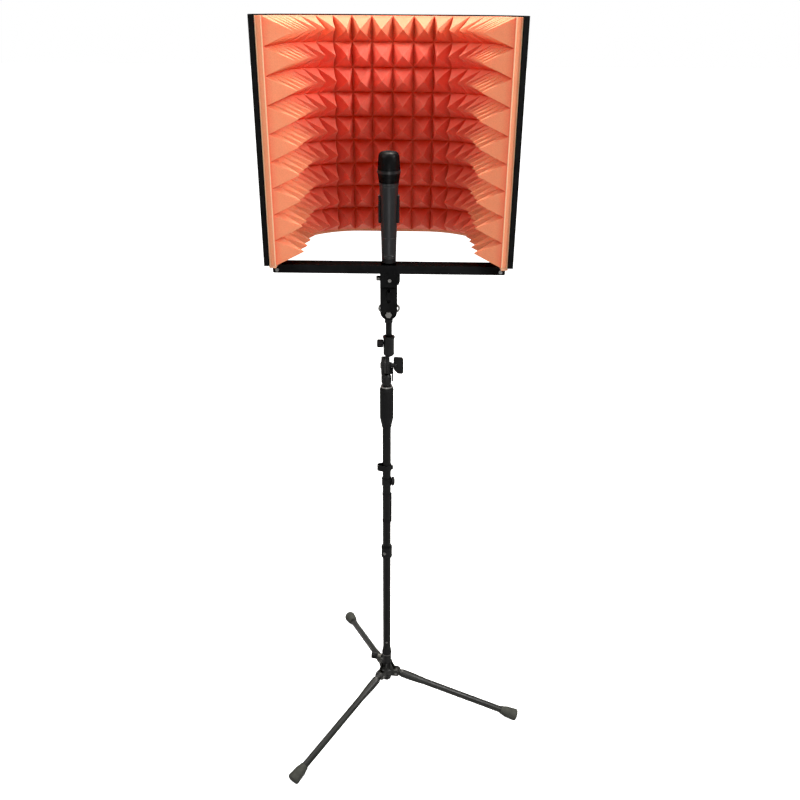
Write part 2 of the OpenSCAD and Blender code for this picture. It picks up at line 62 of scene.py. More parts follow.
class Graph:
    """A short way to write one material's nodes."""

    def __init__(self, name):
        self.material = bpy.data.materials.new(name)
        self.material.use_nodes = True
        self.tree = self.material.node_tree
        self.tree.nodes.clear()
        self.output = self.add("ShaderNodeOutputMaterial")
        self.bsdf = self.add("ShaderNodeBsdfPrincipled")
        self.link(self.bsdf.outputs[0], self.output.inputs[0])
        self.coords = self.add("ShaderNodeTexCoord").outputs["Object"]

    def add(self, kind, **values):
        node = self.tree.nodes.new(kind)
        for key, value in values.items():
            setattr(node, key, value)
        return node

    def link(self, a, b):
        self.tree.links.new(a, b)

    def put(self, target, value):
        """Links an output to the target, or sets the target to a plain value."""
        if hasattr(value, "is_output"):
            self.link(value, target)
        else:
            target.default_value = value

    def stretched(self, x, y, z):
        """Object coordinates scaled by x, y and z, for streaks and fibres."""
        node = self.add("ShaderNodeMapping")
        self.link(self.coords, node.inputs["Vector"])
        node.inputs["Scale"].default_value = (x, y, z)
        return node.outputs[0]

    def noise(self, scale, detail=3.0, rough=0.55, vector=None, distortion=0.0):
        node = self.add("ShaderNodeTexNoise")
        node.inputs["Scale"].default_value = scale
        node.inputs["Detail"].default_value = detail
        node.inputs["Roughness"].default_value = rough
        node.inputs["Distortion"].default_value = distortion
        self.link(vector or self.coords, node.inputs["Vector"])
        return node.outputs["Fac"]

    def cells(self, scale, feature="F1", vector=None):
        """Distance from the middle of irregular cells, for pores and pebbles."""
        node = self.add("ShaderNodeTexVoronoi", feature=feature)
        node.inputs["Scale"].default_value = scale
        self.link(vector or self.coords, node.inputs["Vector"])
        return node.outputs["Distance"]

    def remap(self, value, low, high, to_low, to_high):
        node = self.add("ShaderNodeMapRange")
        node.inputs["From Min"].default_value = low
        node.inputs["From Max"].default_value = high
        node.inputs["To Min"].default_value = to_low
        node.inputs["To Max"].default_value = to_high
        self.put(node.inputs["Value"], value)
        return node.outputs["Result"]

    def math(self, kind, a, b=0.0):
        node = self.add("ShaderNodeMath", operation=kind)
        self.put(node.inputs[0], a)
        self.put(node.inputs[1], b)
        return node.outputs[0]

    def mix(self, share, a, b, kind="MIX"):
        node = self.add("ShaderNodeMix", data_type="RGBA", blend_type=kind)
        self.put(node.inputs["Factor"], share)
        for target, value in ((node.inputs["A"], a), (node.inputs["B"], b)):
            self.put(target, (*value, 1.0) if isinstance(value, tuple) else value)
        return node.outputs["Result"]

    def bump(self, height, distance, strength=1.0, normal=None):
        node = self.add("ShaderNodeBump")
        node.inputs["Strength"].default_value = strength
        node.inputs["Distance"].default_value = distance
        self.put(node.inputs["Height"], height)
        if normal is not None:
            self.link(normal, node.inputs["Normal"])
        return node.outputs[0]

    def edges(self, radius, low=0.01, high=0.12):
        """1 on worn corners, 0 on flat ground."""
        bevel = self.add("ShaderNodeBevel", samples=4)
        bevel.inputs["Radius"].default_value = radius
        geometry = self.add("ShaderNodeNewGeometry")
        dot = self.add("ShaderNodeVectorMath", operation="DOT_PRODUCT")
        self.link(bevel.outputs[0], dot.inputs[0])
        self.link(geometry.outputs["Normal"], dot.inputs[1])
        return self.remap(self.math("SUBTRACT", 1.0, dot.outputs["Value"]), low, high, 0.0, 1.0)

    def finish(self, colour, rough, metallic=0.0, normal=None, **inputs):
        """Sets the surface's inputs; others go by name, with _ for a space."""
        self.put(self.bsdf.inputs["Base Color"], (*colour, 1.0) if isinstance(colour, tuple) else colour)
        self.put(self.bsdf.inputs["Roughness"], rough)
        self.put(self.bsdf.inputs["Metallic"], metallic)
        if normal is not None:
            self.link(normal, self.bsdf.inputs["Normal"])
        for key, value in inputs.items():
            self.put(self.bsdf.inputs[key.replace("_", " ")], value)
        return self.material


def painted(name, colour, rough, grain, depth, wear=(0.3, 0.3, 0.3), worn=0.25, spec=0.5, top=1.0):
    """Powder coat or enamel: orange peel, dust, dull patches and rubbed edges; top is a painted shade that
    darkens the upper faces.
    """
    g = Graph(name)
    patch = g.noise(22.0, 4.0)
    dark = tuple(0.72 * c for c in colour)
    light = tuple(1.35 * c for c in colour)
    base = g.mix(g.remap(patch, 0.3, 0.7, 0.0, 1.0), dark, light)
    speck = g.remap(g.noise(1700.0, 1.0), 0.64, 0.72, 0.0, 0.5)
    base = g.mix(speck, base, tuple(2.4 * c + 0.004 for c in colour))
    rubbed = g.math("MULTIPLY", g.edges(0.6 * MM), g.remap(g.noise(160.0, 5.0), 0.42, 0.66, 0.0, worn))
    base = g.mix(rubbed, base, wear)
    # Painted shade: faces that point up are darkened to top times the colour.
    if top < 1.0:
        painted_top_shade = g.add("ShaderNodeSeparateXYZ")
        g.link(g.add("ShaderNodeTexCoord").outputs["Normal"], painted_top_shade.inputs[0])
        base = g.mix(g.remap(painted_top_shade.outputs["Z"], 0.3, 0.9, 0.0, 1.0), base, tuple(top * c for c in colour))
    dull = g.remap(g.noise(70.0, 5.0, 0.7), 0.3, 0.7, rough - 0.07, rough + 0.1)
    peel = g.bump(g.noise(grain, 3.0), depth)
    fine = g.bump(g.noise(2600.0, 1.0), 0.00002, 0.5, peel)
    return g.finish(base, dull, 0.0, fine, Specular_IOR_Level=spec)


def moulded(name, colour, rough, spec=0.45, grain=2200.0, depth=0.00005):
    """Moulded plastic with spark-eroded grain, flow marks and scuffed corners."""
    g = Graph(name)
    flow = g.noise(34.0, 4.0, vector=g.stretched(1.0, 1.0, 0.35), distortion=0.6)
    base = g.mix(g.remap(flow, 0.3, 0.7, 0.0, 1.0), tuple(0.75 * c for c in colour),
                 tuple(1.3 * c for c in colour))
    scuff = g.math("MULTIPLY", g.edges(0.5 * MM), g.remap(g.noise(240.0, 4.0), 0.4, 0.7, 0.0, 0.55))
    base = g.mix(scuff, base, tuple(3.0 * c + 0.012 for c in colour))
    dull = g.remap(g.noise(95.0, 5.0, 0.7), 0.3, 0.7, rough - 0.06, rough + 0.1)
    dull = g.math("ADD", dull, g.math("MULTIPLY", scuff, 0.15))
    skin = g.bump(g.cells(grain), depth, 0.8)
    skin = g.bump(g.noise(grain * 0.45, 3.0), depth * 0.8, 0.6, skin)
    return g.finish(base, dull, 0.0, skin, Specular_IOR_Level=spec)


def rubbery(name, colour, rough=0.78, spec=0.35):
    """Matt rubber: bloom, dust in the low spots and a soft pebble."""
    g = Graph(name)
    bloom = g.remap(g.noise(45.0, 6.0, 0.7), 0.38, 0.72, 0.0, 0.6)
    base = g.mix(bloom, colour, tuple(1.9 * c + 0.004 for c in colour))
    dust = g.remap(g.noise(1200.0, 2.0), 0.66, 0.74, 0.0, 0.35)
    base = g.mix(dust, base, tuple(4.0 * c + 0.01 for c in colour))
    dull = g.remap(g.noise(120.0, 4.0), 0.3, 0.7, rough - 0.08, rough + 0.1)
    skin = g.bump(g.noise(650.0, 4.0, 0.65), 0.00012, 0.7)
    return g.finish(base, dull, 0.0, skin, Specular_IOR_Level=spec)


def metal(name, colour, rough, streak=(900.0, 900.0, 60.0), tarnish=0.3):
    """Plated or bare steel: turning streaks, tarnish and fine pits."""
    g = Graph(name)
    stain = g.remap(g.noise(130.0, 6.0, 0.7), 0.42, 0.75, 0.0, tarnish)
    base = g.mix(stain, colour, tuple(0.45 * c for c in colour))
    lines = g.noise(1.0, 2.0, vector=g.stretched(*streak))
    dull = g.remap(lines, 0.3, 0.7, rough - 0.06, rough + 0.12)
    dull = g.math("ADD", dull, g.math("MULTIPLY", stain, 0.25))
    skin = g.bump(lines, 0.00002, 0.6)
    skin = g.bump(g.noise(1500.0, 3.0), 0.00002, 0.5, skin)
    return g.finish(base, dull, 1.0, skin)


def foam_material():
    """Open-cell polyurethane foam: fine pores, knife chatter and slightly uneven dye, with painted shade
    deeper red in the valleys, the pores and the back of the U, and a painted highlight on the pale cut edges.
    """
    g = Graph("foam_orange")
    # deep is painted shade for the valleys and pores, face the foam's own colour, inner a deep red painted
    # shade for the back of the U, pale a painted highlight for the cut edges
    deep = (0.86, 0.165, 0.090)
    face = (0.855, 0.288, 0.150)
    inner = (0.94, 0.190, 0.132)
    pale = (0.95, 0.56, 0.34)
    patch = g.noise(16.0, 4.0, 0.6)
    base = g.mix(g.remap(patch, 0.32, 0.7, 0.0, 1.0), face, tuple(1.03 * c for c in face))
    # Painted shade: deeper red toward the back of the U, read from a vertex share.
    hollow = g.add("ShaderNodeAttribute", attribute_name="hollow").outputs["Fac"]
    base = g.mix(hollow, base, inner)
    # Painted highlight: the cut edges are made pale.
    cut = g.add("ShaderNodeAttribute", attribute_name="cut").outputs["Fac"]
    base = g.mix(cut, base, pale)
    # Painted shade: deeper red in the valleys between the pyramids.
    low = g.add("ShaderNodeAttribute", attribute_name="valley").outputs["Fac"]
    base = g.mix(low, base, deep)
    pores = g.cells(1500.0)
    # Painted shade: the pore holes are darkened toward the deep red.
    pore_shade = g.remap(pores, 0.0, 0.34, 0.45, 0.0)
    base = g.mix(pore_shade, base, tuple(0.72 * c for c in deep))
    fleck = g.remap(g.noise(420.0, 5.0, 0.75), 0.3, 0.72, 0.9, 1.08)
    shade = g.add("ShaderNodeHueSaturation")
    g.link(fleck, shade.inputs["Value"])
    g.link(base, shade.inputs["Color"])
    skin = g.bump(pores, 0.00025, 0.55)
    skin = g.bump(g.noise(700.0, 5.0, 0.7), 0.00045, 0.45, skin)
    skin = g.bump(g.noise(46.0, 3.0), 0.0011, 0.35, skin)
    g.bsdf.inputs["Subsurface Radius"].default_value = (1.0, 0.25, 0.18)
    return g.finish(shade.outputs["Color"], 0.95, 0.0, skin, Specular_IOR_Level=0.12,
                    Subsurface_Weight=0.3, Subsurface_Scale=0.012)


def panel_material():
    """Pebbled black board of the shield."""
    g = Graph("shield_panel")
    pebble = g.cells(520.0, "SMOOTH_F1")
    patch = g.noise(9.0, 5.0)
    base = g.mix(g.remap(patch, 0.3, 0.7, 0.0, 1.0), (0.0060, 0.0060, 0.0063), (0.0105, 0.0102, 0.010))
    base = g.mix(g.remap(pebble, 0.2, 0.62, 0.0, 0.5), base, (0.019, 0.019, 0.019))
    scratch = g.remap(g.noise(1.0, 3.0, vector=g.stretched(24.0, 24.0, 900.0)), 0.71, 0.75, 0.0, 0.3)
    base = g.mix(scratch, base, (0.05, 0.05, 0.05))
    dull = g.remap(g.noise(60.0, 5.0, 0.7), 0.3, 0.7, 0.5, 0.68)
    skin = g.bump(pebble, 0.00035, 0.8)
    skin = g.bump(g.noise(2400.0, 2.0), 0.00004, 0.5, skin)
    return g.finish(base, dull, 0.0, skin, Specular_IOR_Level=0.4)


def lacquer_material():
    """Charcoal satin lacquer over metal, for the microphone's body."""
    g = Graph("mic_lacquer")
    flake = g.remap(g.noise(2400.0, 1.0), 0.56, 0.7, 0.0, 0.35)
    base = g.mix(flake, (0.0155, 0.0160, 0.0170), (0.042, 0.044, 0.047))
    rubbed = g.math("MULTIPLY", g.edges(0.4 * MM), g.remap(g.noise(260.0, 4.0), 0.45, 0.7, 0.0, 0.4))
    base = g.mix(rubbed, base, (0.22, 0.22, 0.22))
    dull = g.remap(g.noise(55.0, 5.0, 0.7), 0.3, 0.7, 0.34, 0.45)
    skin = g.bump(g.noise(900.0, 3.0), 0.00003, 0.6)
    return g.finish(base, dull, 0.15, skin, Specular_IOR_Level=0.5)


def fibre_material():
    """Red vulcanised fibre washer."""
    g = Graph("red_fibre_washer")
    strands = g.noise(1.0, 3.0, vector=g.stretched(2600.0, 500.0, 500.0))
    base = g.mix(g.remap(strands, 0.35, 0.68, 0.0, 1.0), (0.16, 0.018, 0.010), (0.30, 0.045, 0.022))
    return g.finish(base, g.remap(strands, 0.3, 0.7, 0.55, 0.8), 0.0, g.bump(strands, 0.00006))


MATERIALS = {
    "base_black": painted("cast_black_coat", (0.0080, 0.0080, 0.0080), 0.46, 620.0, 0.00012, spec=0.3),
    "leg_paint": painted("leg_enamel", (0.015, 0.015, 0.0135), 0.38, 380.0, 0.00005, spec=0.4),
    "tube_paint": painted("tube_enamel", (0.0058, 0.0058, 0.0060), 0.38, 300.0, 0.00004, spec=0.24),
    "black_plastic": moulded("black_moulding", (0.0068, 0.0068, 0.0072), 0.52, 0.24),
    "soft_rubber": rubbery("soft_black_rubber", (0.036, 0.037, 0.031)),
    "bright_steel": metal("bright_plated_steel", (0.52, 0.51, 0.49), 0.27),
    "grey_steel": metal("grey_steel", (0.24, 0.235, 0.225), 0.36, tarnish=0.5),
    "nylon": moulded("natural_nylon", (0.50, 0.48, 0.43), 0.42, 0.5, 900.0, 0.00003),
    "red_fibre": fibre_material(),
    # top=0.12 paints shade on the upper faces: they are darkened to 0.12 of the colour.
    "bracket_paint": painted("bracket_black_coat", (0.0095, 0.0095, 0.0097), 0.72, 700.0, 0.00014,
                             worn=0.2, spec=0.05, top=0.12),
    "panel": panel_material(),
    "edge_rubber": rubbery("edge_strip_rubber", (0.0038, 0.0038, 0.0038), 0.7, 0.12),
    "foam": foam_material(),
    "mic_shell": lacquer_material(),
    "mic_mesh": metal("mic_mesh_steel", (0.016, 0.016, 0.0165), 0.5, (1400.0, 1400.0, 1400.0), 0.4),
    "mic_trim": moulded("mic_trim_black", (0.010, 0.010, 0.0105), 0.36, 0.5, 1600.0, 0.00003),
}

slot_of = {row["node"]: row["material_slot"] for row in frame["record"]["subparts"]}


def dress(obj, slot):
    """Gives a piece or a carried-over CAD node its finish."""
    obj.data.materials.clear()
    obj.data.materials.append(MATERIALS[slot])
    return obj


# --------------------------------------------------
# Mesh helpers
# --------------------------------------------------

EDGE_ANGLE = 38.0  # edges that turn more than this many degrees are rounded


def mesh_piece(name, vertices, faces, body, slot, smooth=50.0):
    """A piece from vertices and faces, riding on a body, sharp where it turns more than smooth degrees."""
    mesh = bpy.data.meshes.new(name)
    mesh.from_pydata([tuple(v) for v in vertices], [], faces)
    mesh.validate()
    bm = bmesh.new()
    bm.from_mesh(mesh)
    bmesh.ops.recalc_face_normals(bm, faces=bm.faces)
    bm.to_mesh(mesh)
    bm.free()
    mesh.polygons.foreach_set("use_smooth", [True] * len(mesh.polygons))
    mesh.set_sharp_from_angle(angle=math.radians(smooth))
    obj = bpy.data.objects.new(name, mesh)
    scene.collection.objects.link(obj)
    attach(obj, body)
    return dress(obj, slot)


def lathe(profile, steps=96, matrix=Matrix.Identity(4)):
    """Vertices and faces of a turned shape: profile rows are (radius, height), closed on the axis."""
    vertices, faces = [], []
    for radius, height in profile:
        for k in range(steps):
            a = 2 * math.pi * k / steps
            vertices.append(matrix @ Vector((radius * math.cos(a), radius * math.sin(a), height)))
    for r in range(len(profile) - 1):
        for k in range(steps):
            n = (k + 1) % steps
            faces.append((r * steps + k, r * steps + n, (r + 1) * steps + n, (r + 1) * steps + k))
    faces.append(tuple(range(steps - 1, -1, -1)))
    last = (len(profile) - 1) * steps
    faces.append(tuple(range(last, last + steps)))
    return vertices, faces


def tube_path(points, radius, sides=8, closed=False):
    """Vertices and faces of a round bead that follows a line of points."""
    vertices, faces = [], []
    count = len(points)
    up = Vector((0.0, 0.0, 1.0))
    for k, point in enumerate(points):
        before = points[(k - 1) % count] if closed or k else point
        after = points[(k + 1) % count] if closed or k < count - 1 else point
        along = (after - before).normalized()
        side = along.cross(up)
        if side.length < 0.05:
            side = along.cross(Vector((1.0, 0.0, 0.0)))
        side.normalize()
        lift = side.cross(along).normalized()
        for q in range(sides):
            a = 2 * math.pi * q / sides
            vertices.append(point + radius * (math.cos(a) * side + math.sin(a) * lift))
    for k in range(count if closed else count - 1):
        n = (k + 1) % count
        for q in range(sides):
            m = (q + 1) % sides
            faces.append((k * sides + q, k * sides + m, n * sides + m, n * sides + q))
    if not closed:
        faces.append(tuple(range(sides - 1, -1, -1)))
        faces.append(tuple(range((count - 1) * sides, count * sides)))
    return vertices, faces


def joined(parts):
    """One list of vertices and faces from several."""
    vertices, faces = [], []
    for part_vertices, part_faces in parts:
        base = len(vertices)
        vertices += part_vertices
        faces += [tuple(base + v for v in face) for face in part_faces]
    return vertices, faces


def frame_along(origin, direction):
    """A matrix whose +Z runs along a direction from an origin."""
    z = Vector(direction).normalized()
    x = z.orthogonal().normalized()
    y = z.cross(x)
    return Matrix(((x.x, y.x, z.x, origin[0]), (x.y, y.y, z.y, origin[1]), (x.z, y.z, z.z, origin[2]),
                   (0.0, 0.0, 0.0, 1.0)))


def turned(rows, steps=96, matrix=Matrix.Identity(4)):
    """A turned shape from rows of (radius, height) in mm."""
    return lathe([(r * MM, h * MM) for r, h in rows], steps, matrix)


def slab(outline, start, end, place):
    """A flat plate: its outline in two directions, from start to end along the third, all in mm."""
    count = len(outline)
    vertices = [place(a * MM, b * MM, c * MM) for c in (start, end) for a, b in outline]
    faces = [tuple(range(count)), tuple(range(2 * count - 1, count - 1, -1))]
    faces += [(k, (k + 1) % count, count + (k + 1) % count, count + k) for k in range(count)]
    return vertices, faces


def rounded(piece, width, segments=3):
    """Rounds a piece's edges with a bevel, its width in mm."""
    bevel = piece.modifiers.new("rounded", "BEVEL")
    bevel.width, bevel.segments = width * MM, segments
    bevel.limit_method, bevel.angle_limit = "ANGLE", math.radians(EDGE_ANGLE)
    return piece


def thread(name, origin, direction, length, radius, pitch, body, slot):
    """A triangular thread ridge wound on a plain shank of the given radius, all in mm but the origin."""
    turns, per = length / pitch, 28
    steps = int(turns * per)
    matrix = frame_along(origin, direction)
    vertices, faces = [], []
    for k in range(steps + 1):
        a = 2 * math.pi * k / per
        fade = min(1.0, 3.0 * k / steps, 3.0 * (steps - k) / steps) if steps else 0.0
        h = pitch * (k / per)
        for dr, dh in ((-0.12, -0.34 * pitch), (0.52 * pitch * fade, -0.06 * pitch),
                       (0.52 * pitch * fade, 0.06 * pitch), (-0.12, 0.34 * pitch)):
            r = radius + dr
            vertices.append(matrix @ Vector((r * MM * math.cos(a), r * MM * math.sin(a), (h + dh) * MM)))
    for k in range(steps):
        for q in range(4):
            n = (q + 1) % 4
            faces.append((4 * k + q, 4 * k + n, 4 * k + 4 + n, 4 * k + 4 + q))
    faces += [(3, 2, 1, 0), tuple(4 * steps + c for c in range(4))]
    return mesh_piece(name, vertices, faces, body, slot, 30.0)


def ring_bead(name, height, radius, thick, body):
    """A thin moulded bead round the pole, all in mm."""
    turns = [2 * math.pi * k / 64 for k in range(64)]
    points = [Vector((radius * MM * math.cos(a), radius * MM * math.sin(a), height * MM)) for a in turns]
    bead = tube_path(points, thick * MM, closed=True)
    return mesh_piece(name, *bead, body, "black_plastic", 80.0)


# --------------------------------------------------
# Shield: where a point lies round the U
# --------------------------------------------------

# Half of the flat back, the bend at each side, the wall after it, and the panel's thickness
FLAT, BEND_R, BEND, WALL, PANEL = 77 * MM, 173 * MM, math.radians(86.8), 195 * MM, 8 * MM
shell_low, shell_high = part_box("shell")
foam_low, foam_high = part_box("foam")
bar_low, bar_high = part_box("cross_bar")
MID_X = (shell_low.x + shell_high.x) / 2
BEND_Y = shell_high.y - PANEL - BEND_R
RUN = FLAT + BEND_R * BEND + WALL


def plan(t, depth, height):
    """The point at run t from the middle of the back, depth inside the panel's inner face."""
    s = abs(t)
    if s <= FLAT:
        x, y = s, BEND_Y + BEND_R - depth
    elif s <= RUN - WALL:
        a = (s - FLAT) / BEND_R
        x = FLAT + (BEND_R - depth) * math.sin(a)
        y = BEND_Y + (BEND_R - depth) * math.cos(a)
    else:
        w = s - RUN + WALL
        x = FLAT + (BEND_R - depth) * math.sin(BEND) + w * math.cos(BEND)
        y = BEND_Y + (BEND_R - depth) * math.cos(BEND) - w * math.sin(BEND)
    return Vector((MID_X + math.copysign(x, t), y, height))


# --------------------------------------------------
# Pyramid foam
# --------------------------------------------------

COLUMNS, ROWS = 22, 9
FOAM_BASE, FOAM_PEAK, FOAM_BACK = 15 * MM, 60 * MM, 0.3 * MM
FOAM_SEED = 7
TIP_DRIFT, TIP_RISE = 0.9 * MM, 1.2 * MM  # how uneven the tips are, sideways and in height

# Grid lines across one pyramid, from -1 at one valley through 0 at the tip to 1 at the next valley
HALF_STEPS = (0.0, 0.07, 0.25, 0.5, 0.75, 0.92, 1.0)
CELL_STEPS = [-s for s in reversed(HALF_STEPS[1:])] + list(HALF_STEPS)
PER = len(CELL_STEPS) - 1
ACROSS, UP = COLUMNS * PER + 1, ROWS * PER + 1
CELL_W, CELL_H = 2 * RUN / COLUMNS, (foam_high.z - foam_low.z) / ROWS

# Down the cut front ends: depth from the panel, how far it stands out, and how pale it is, a painted
# highlight
FRONT_RAILS = [(FOAM_BASE + 0.3 * MM, 0.7 * MM, 0.9), (FOAM_BASE - 0.5 * MM, 1.2 * MM, 1.0),
               (FOAM_BASE - 2.0 * MM, 1.2 * MM, 0.8), (FOAM_BASE - 2.5 * MM, 0.5 * MM, 0.10),
               (FOAM_BACK + 3.6 * MM, 0.5 * MM, 0.10), (FOAM_BACK + 3.0 * MM, 1.2 * MM, 0.8),
               (FOAM_BACK + 0.8 * MM, 1.2 * MM, 1.0), (FOAM_BACK, 0.0, 1.0)]


class Sheet:
    """The foam's vertices and faces, with each vertex's share of painted valley shade and of painted
    highlight on the cut edges.
    """

    def __init__(self):
        self.vertices, self.faces, self.valley, self.cut = [], [], [], []

    def add(self, point, valley, cut):
        self.vertices.append(point)
        self.valley.append(valley)
        self.cut.append(cut)
        return len(self.vertices) - 1


def soft_peak(m):
    """Height share of a pyramid at ring m, 0 at the tip and 1 in the valley, blunt at both."""
    tip = 0.020 * math.exp(-m / 0.05)
    floor = 0.012 * math.exp(-(1.0 - m) / 0.05)
    return 1.0 - m - tip + floor


def cell_at(n, count):
    """Which of count pyramids the grid line n crosses, and where in it, from -1 to 1."""
    cell = min(n // PER, count - 1)
    return cell, CELL_STEPS[n - cell * PER]


def run_at(column, u):
    """The run round the U at place u of a column of pyramids."""
    return (column + 0.5 + 0.5 * u) * CELL_W - RUN


def add_pyramids(sheet):
    """The slightly uneven pyramids, as one grid from front end to front end."""
    rng = random.Random(FOAM_SEED)
    noise.seed_set(FOAM_SEED)  # noise_vector otherwise takes its seed from the clock
    uneven = {(i, j): (rng.uniform(-1, 1), rng.uniform(-1, 1), rng.uniform(-1, 1))
              for i in range(COLUMNS) for j in range(ROWS)}
    for j in range(UP):
        row, v = cell_at(j, ROWS)
        for i in range(ACROSS):
            column, u = cell_at(i, COLUMNS)
            m = max(abs(u), abs(v))
            share, inner = soft_peak(m), 1.0 - m
            dt, dz, dh = uneven[column, row]
            t = run_at(column, u) + TIP_DRIFT * dt * inner
            z = foam_low.z + (row + 0.5 + 0.5 * v) * CELL_H + TIP_DRIFT * dz * inner
            point = plan(t, FOAM_BASE + FOAM_PEAK * share + TIP_RISE * dh * inner, z)
            wave = noise.noise_vector(point * 38.0) * 0.0006 + noise.noise_vector(point * 150.0) * 0.00022
            edge = min(i, j, ACROSS - 1 - i, UP - 1 - j)
            # The second share is painted valley shade; the 0.75 on the top and bottom rows is a painted
            # highlight on the cut edges.
            sheet.add(point + wave * min(1.0, edge / 3.0), max(0.0, 1.0 - share / 0.20) ** 1.5,
                      0.75 if j in (0, UP - 1) else 0.0)
    for j in range(UP - 1):
        for i in range(ACROSS - 1):
            a, b = j * ACROSS + i, j * ACROSS + i + 1
            c, d = b + ACROSS, a + ACROSS
            leans_right = ((i % PER) < PER // 2) == ((j % PER) < PER // 2)
            sheet.faces += [(a, b, c), (a, c, d)] if leans_right else [(a, b, d), (b, c, d)]


def add_front_end(sheet, end):
    """The cut front end on side -1 or 1, in rails of points from the pyramids round to the back."""
    rails = [[j * ACROSS + (0 if end < 0 else ACROSS - 1) for j in range(UP)]]
    for depth, out, share in FRONT_RAILS:
        rail = []
        for start in rails[0]:
            z = sheet.vertices[start].z
            point = plan(end * RUN, depth, z)
            ahead = (plan(end * (RUN + 0.01), depth, z) - point).normalized()
            wave = 0.00025 * noise.noise(Vector((end * 3.0, depth * 90.0, z * 60.0)))
            rail.append(sheet.add(point + ahead * (out + wave), 0.0, share))
        rails.append(rail)
    for one, two in zip(rails, rails[1:]):
        sheet.faces += [(one[j], one[j + 1], two[j + 1], two[j]) for j in range(UP - 1)]
    for level in (0, UP - 1):
        sheet.faces.append(tuple(rail[level] for rail in rails))
    return rails[-1]


def add_back(sheet, left, right):
    """The flat back with the lower and upper edges, between the last rails of the two front ends."""
    top = (UP - 1) * ACROSS
    lows, tops = [left[0]], [left[-1]]
    for i in range(1, ACROSS - 1):
        t = run_at(i // PER, CELL_STEPS[i % PER])
        # The flat back gets the full painted cut-edge highlight.
        lows.append(sheet.add(plan(t, FOAM_BACK, sheet.vertices[i].z), 0.0, 1.0))
        tops.append(sheet.add(plan(t, FOAM_BACK, sheet.vertices[top + i].z), 0.0, 1.0))
    lows.append(right[0])
    tops.append(right[-1])
    for i in range(ACROSS - 1):
        sheet.faces.append((i, i + 1, lows[i + 1], lows[i]))
        sheet.faces.append((top + i, top + i + 1, tops[i + 1], tops[i]))
        if 0 < i < ACROSS - 2:
            sheet.faces.append((lows[i], lows[i + 1], tops[i + 1], tops[i]))
    sheet.faces.append(tuple(left) + (tops[1], lows[1]))
    sheet.faces.append(tuple(right) + (tops[-2], lows[-2]))


def hollow_share(point):
    """The share of painted shade: how far back in the U a point lies, from 0 to 1, and less so in the top
    row.
    """
    back = (point.y - foam_low.y) / (foam_high.y - foam_low.y)
    below = (foam_high.z - point.z) / CELL_H
    return min(1.0, max(0.0, (back - 0.38) / 0.45)) * min(1.0, max(0.25, below - 0.3))


def set_shares(piece, **shares):
    """The numbers at each vertex that the foam's material reads."""
    for name, values in shares.items():
        attribute = piece.data.attributes.new(name, "FLOAT", "POINT")
        attribute.data.foreach_set("value", values)


def foam_sheet():
    """The whole foam lining as one closed sheet."""
    sheet = Sheet()
    add_pyramids(sheet)
    left, right = [add_front_end(sheet, end) for end in (-1, 1)]
    add_back(sheet, left, right)
    piece = mesh_piece("foam_sheet", sheet.vertices, sheet.faces, "booth", "foam", 28.0)
    # The shares drive painted shade in the valleys and at the back of the U, and a painted highlight on the
    # cut edges.
    set_shares(piece, valley=sheet.valley, cut=sheet.cut, hollow=[hollow_share(v) for v in sheet.vertices])
    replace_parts(piece, "foam")


def foam_hem():
    """The plain strip of the sheet below the lowest pyramids, stepped up where it rests on the bar."""
    count, clear, drop = 240, 3 * MM, 5.5 * MM
    vertices, faces = [], []
    for k in range(count + 1):
        t = RUN * (2 * k / count - 1)
        for depth in (FOAM_BACK, FOAM_BASE - 0.2 * MM):
            on_bar = bar_low.y - clear < plan(t, depth, 0.0).y < bar_high.y + clear
            low = bar_high.z + 0.5 * MM if on_bar else foam_low.z - drop
            for z in (low, foam_low.z - 0.06 * MM):
                wave = 0.00025 * noise.noise(Vector((t * 60.0, depth * 90.0, z * 60.0)))
                vertices.append(plan(t, depth - abs(wave), z))
    for k in range(count):
        a, b = 4 * k, 4 * k + 4
        for p, q in ((0, 1), (1, 3), (3, 2), (2, 0)):
            faces.append((a + p, a + q, b + q, b + p))
    faces += [(0, 1, 3, 2), tuple(4 * count + c for c in (0, 1, 3, 2))]
    piece = mesh_piece("foam_hem", vertices, faces, "booth", "foam", 28.0)
    many = len(vertices)
    # On the hem: half the painted cut-edge highlight and a little painted shade.
    set_shares(piece, valley=[0.0] * many, cut=[0.5] * many, hollow=[0.1] * many)


foam_sheet()
foam_hem()

# --------------------------------------------------
# Microphone
# --------------------------------------------------

mic_low, mic_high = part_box("mic_body")
BODY_START = 12.04 * MM  # height of the CAD body above the tail's end
mic_frame = Matrix.Translation(((mic_low.x + mic_high.x) / 2, (mic_low.y + mic_high.y) / 2,
                                mic_low.z - BODY_START))

# Profiles as (radius, height) and grooves as (height, depth, half width), all in mm from the tail's end
BODY_SIDE = [(15.9, 20.0), (16.2, 20.4), (16.35, 30.0), (17.0, 59.0), (17.2, 60.0), (18.4, 106.0),
             (19.4, 140.0), (20.3, 168.0), (21.1, 172.5), (21.4, 175.0), (21.3, 177.0)]
BODY_GROOVES = [(22.6, 0.28, 0.35), (59.5, 0.55, 0.6), (170.6, 0.22, 0.35), (174.6, 0.25, 0.3)]
TAIL_SIDE = [(15.4, 12.04), (16.0, 12.7), (16.1, 19.2), (15.6, 19.96)]
TAIL_GROOVES = [(15.9, 0.35, 0.4)]
HEAD_SIDE = [(21.4, 177.1), (24.3, 197.0), (24.2, 206.0), (22.5, 231.0), (21.6, 235.2), (19.6, 238.4),
             (16.6, 240.4)]
HEAD_TOP = [(16.6, 240.4), (12.0, 241.4), (0.4, 241.9)]
DOME_FROM, DOME_TALL = 231.0, 10.9

